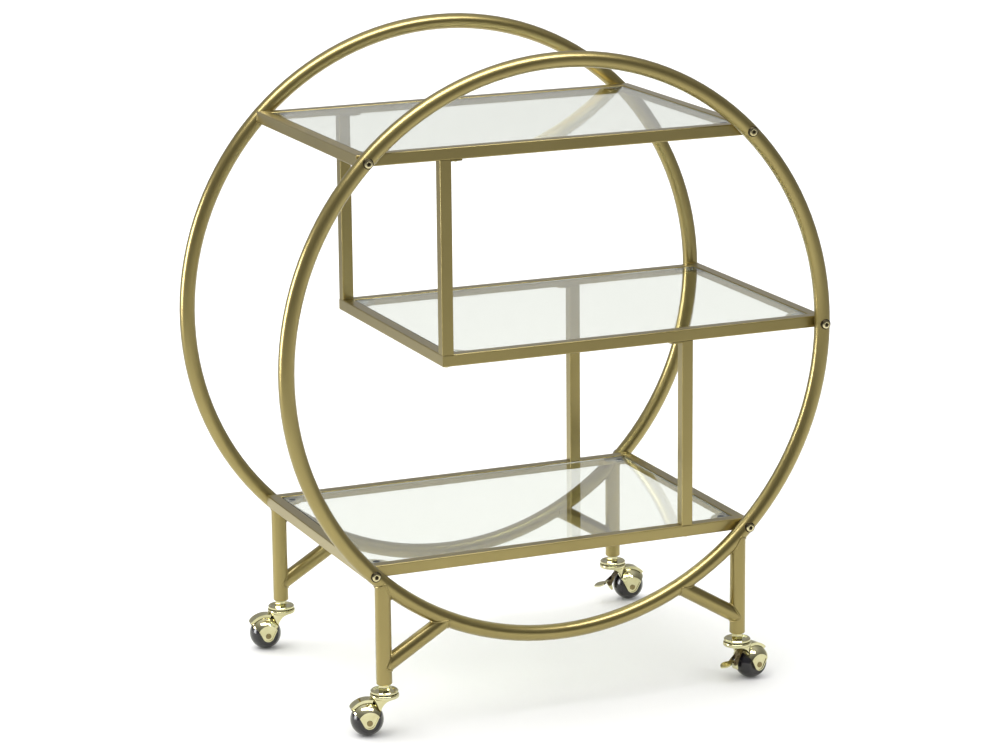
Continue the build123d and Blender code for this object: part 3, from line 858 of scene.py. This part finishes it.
@dataclass
class Studio:
    """Pale floor, soft lights and the camera."""

    softboxes: tuple[SoftBox, ...] = (
        SoftBox("overhead", place=(-0.3, -0.75, 2.8), width=3.2, height=0.7, power=76.0),
        SoftBox("left_strip", place=(-3.0, 0.85, 0.75), width=0.9, height=1.7, power=64.0),
    )
    softbox_aim: Triple = (0.0, 0.0, 0.42)
    skylight: float = 1.5
    skylight_spread: float = math.radians(70.0)
    skylight_turn: Triple = (math.radians(-14.0), math.radians(-20.0), 0.0)
    even_light: float = 1.2
    floor_size: float = 40.0
    floor_roughness: float = 0.9
    floor_tone: Colour = (0.86, 0.86, 0.855)
    # Painted reflection: the floor's colour in mirrors, bright near the cart and dark far off.
    reflected_floor_near: Colour = (0.76, 0.76, 0.7)
    reflected_floor_far: Colour = (0.25, 0.25, 0.24)
    reflection_pool: Span = (0.6, 2.6)
    sky_lean: Span = (0.26, 1.0)
    sky_steps: tuple[Span, ...] = (
        (0.0, 0.5),
        (0.24, 0.38),
        (0.45, 0.36),
        (0.7, 0.5),
        (0.95, 1.0),
    )
    camera_place: Vector = field(default_factory=lambda: Vector((-1.6762, -3.9381, 1.4374)))
    camera_aim: Vector = field(default_factory=lambda: Vector((-0.0040, 0.0, 0.3896)))
    camera_roll: float = math.radians(-0.56)
    lens: float = 123.04
    sensor: float = 36.0
    sight: float = 100.0

    def build_floor(self) -> None:
        """Lay a large pale floor; in mirrors it shows a painted reflection, bright near the cart,
        dark far off.
        """
        shape = bmesh.new()
        bmesh.ops.create_grid(shape, x_segments=1, y_segments=1, size=self.floor_size / 2)
        data = bpy.data.meshes.new("floor")
        shape.to_mesh(data)
        shape.free()
        floor = bpy.data.objects.new("floor", data)
        bpy.context.collection.objects.link(floor)
        shader = Shader("pale_floor")
        shader.set(Roughness=self.floor_roughness, Specular_IOR_Level=0.0)
        reach = shader.tree.nodes.new("ShaderNodeVectorMath")
        reach.operation = "LENGTH"
        shader.tree.links.new(shader.place, reach.inputs[0])
        # For mirrored rays only, the floor is painted as a reflection: a bright pool near the cart
        # fading to dark.
        reflection_pool = shader.spread(reach.outputs["Value"], 1.0, 0.0, *self.reflection_pool)
        painted_reflection = shader.blend(reflection_pool, self.reflected_floor_far, self.reflected_floor_near)
        shader.feed("Base Color", shader.mix(mirrored(shader.tree), self.floor_tone, painted_reflection))
        data.materials.append(shader.material)

    def add_softbox(self, box: SoftBox) -> None:
        """Hang one soft light, facing the cart, that shows only as a highlight.

        Args:
            box: The light's place, sizes and power.
        """
        data = bpy.data.lights.new(box.name, "AREA")
        data.shape = "RECTANGLE"
        data.size = box.width
        data.size_y = box.height
        data.energy = box.power
        light = bpy.data.objects.new(box.name, data)
        light.location = box.place
        way = Vector(self.softbox_aim) - Vector(box.place)
        light.rotation_euler = way.to_track_quat("-Z", "Y").to_euler()
        light.visible_diffuse = False
        bpy.context.collection.objects.link(light)

    def add_skylight(self) -> None:
        """Add one broad light from above, which keeps the floor evenly bright all over."""
        data = bpy.data.lights.new("skylight", "SUN")
        data.energy = self.skylight
        data.angle = self.skylight_spread
        light = bpy.data.objects.new("skylight", data)
        light.rotation_euler = self.skylight_turn
        light.visible_glossy = False
        bpy.context.collection.objects.link(light)

    def graded_sky(self, tree: bpy.types.NodeTree) -> Socket:
        """The surroundings that polished parts mirror: brighter overhead and behind the cart.

        Args:
            tree: The world's node tree.

        Returns:
            The background.
        """
        graded = tree.nodes.new("ShaderNodeBackground")
        way = tree.nodes.new("ShaderNodeTexCoord")
        split = tree.nodes.new("ShaderNodeSeparateXYZ")
        tree.links.new(way.outputs["Generated"], split.inputs["Vector"])
        lean = tree.nodes.new("ShaderNodeMapRange")
        lean.inputs["From Min"].default_value = -1.0
        lean.inputs["From Max"].default_value = 1.0
        lean.inputs["To Min"].default_value = self.sky_lean[0]
        lean.inputs["To Max"].default_value = self.sky_lean[1]
        tree.links.new(split.outputs["Y"], lean.inputs["Value"])
        lift = tree.nodes.new("ShaderNodeValToRGB")
        for old in list(lift.color_ramp.elements)[1:]:
            lift.color_ramp.elements.remove(old)
        lift.color_ramp.elements[0].color = (*3 * (self.sky_steps[0][1],), 1.0)
        for position, value in self.sky_steps[1:]:
            lift.color_ramp.elements.new(position).color = (*3 * (value,), 1.0)
        tree.links.new(split.outputs["Z"], lift.inputs["Fac"])
        tree.links.new(lift.outputs["Color"], graded.inputs["Color"])
        tree.links.new(lean.outputs["Result"], graded.inputs["Strength"])
        return graded.outputs["Background"]

    def build_world(self) -> None:
        """Surround the cart: even and pale for light, dimmer and graded for reflections."""
        world = bpy.data.worlds.new("studio")
        world.use_nodes = True
        tree = world.node_tree
        tree.nodes.clear()
        even = tree.nodes.new("ShaderNodeBackground")
        even.inputs["Color"].default_value = (1.0, 1.0, 1.0, 1.0)
        even.inputs["Strength"].default_value = self.even_light
        choose = tree.nodes.new("ShaderNodeMixShader")
        tree.links.new(mirrored(tree), choose.inputs["Fac"])
        tree.links.new(even.outputs["Background"], choose.inputs[1])
        tree.links.new(self.graded_sky(tree), choose.inputs[2])
        output = tree.nodes.new("ShaderNodeOutputWorld")
        tree.links.new(choose.outputs["Shader"], output.inputs["Surface"])
        bpy.context.scene.world = world

    def build_camera(self) -> None:
        """Set the camera at its place, aimed at the cart with a slight roll."""
        data = bpy.data.cameras.new("camera")
        data.lens = self.lens
        data.sensor_width = self.sensor
        data.clip_end = self.sight
        camera = bpy.data.objects.new("camera", data)
        back = (self.camera_place - self.camera_aim).normalized()
        right = Vector((0.0, 0.0, 1.0)).cross(back).normalized()
        up = back.cross(right)
        turn, lift = math.cos(self.camera_roll), math.sin(self.camera_roll)
        rows = Matrix((right * turn + up * lift, up * turn - right * lift, back))
        camera.matrix_world = Matrix.Translation(self.camera_place) @ rows.transposed().to_4x4()
        bpy.context.collection.objects.link(camera)
        bpy.context.scene.camera = camera

    def build(self) -> None:
        """Make the floor, the lights and the camera."""
        self.build_floor()
        self.build_world()
        self.add_skylight()
        for box in self.softboxes:
            self.add_softbox(box)
        self.build_camera()
        bpy.context.scene.view_settings.view_transform = "Standard"
        log.info("studio: floor, lights and camera")


def main() -> None:
    """Build the cart's looks in order and report each piece."""
    logging.basicConfig(level=logging.INFO, format="%(message)s")
    Studio().build()
    paint = FRAME_PAINT.material()
    for node in nodes_in_slot("frame_paint"):
        dress(node, paint)
    welds = WeldBeads()
    welds.build_joint_welds(paint)
    welds.build_mitre_seams(paint)
    clear, ground = SHELF_GLASS.material(), GLASS_EDGE.material()
    for level in Level:
        ShelfGlass(level).build(clear, ground)
    GlassPads().build(SOFT_PAD.material())
    finishes = {
        "hidden_steel": PLAIN_STEEL,
        "caster_brass": CASTER_BRASS,
        "caster_steel": DARK_STEEL,
        "wheel_black": WHEEL_BLACK,
    }
    for slot, finish in finishes.items():
        material = finish.material()
        for node in nodes_in_slot(slot):
            dress(node, material)
    bright = BOLT_BRASS.material()
    for node in nodes_in_slot("bolt_brass"):
        dress(node, bright)
    RingBolts().build(bright, PAINTED_SHADE_BRASS.material())
    # The axle ends take the darkened brass as painted shade of their recess.
    axle_painted_shade_metal = AXLE_PAINTED_SHADE_BRASS.material()
    for stand in Stand:
        dress(f"axle_{stand.value}", axle_painted_shade_metal)


if __name__ == "__main__":
    main()
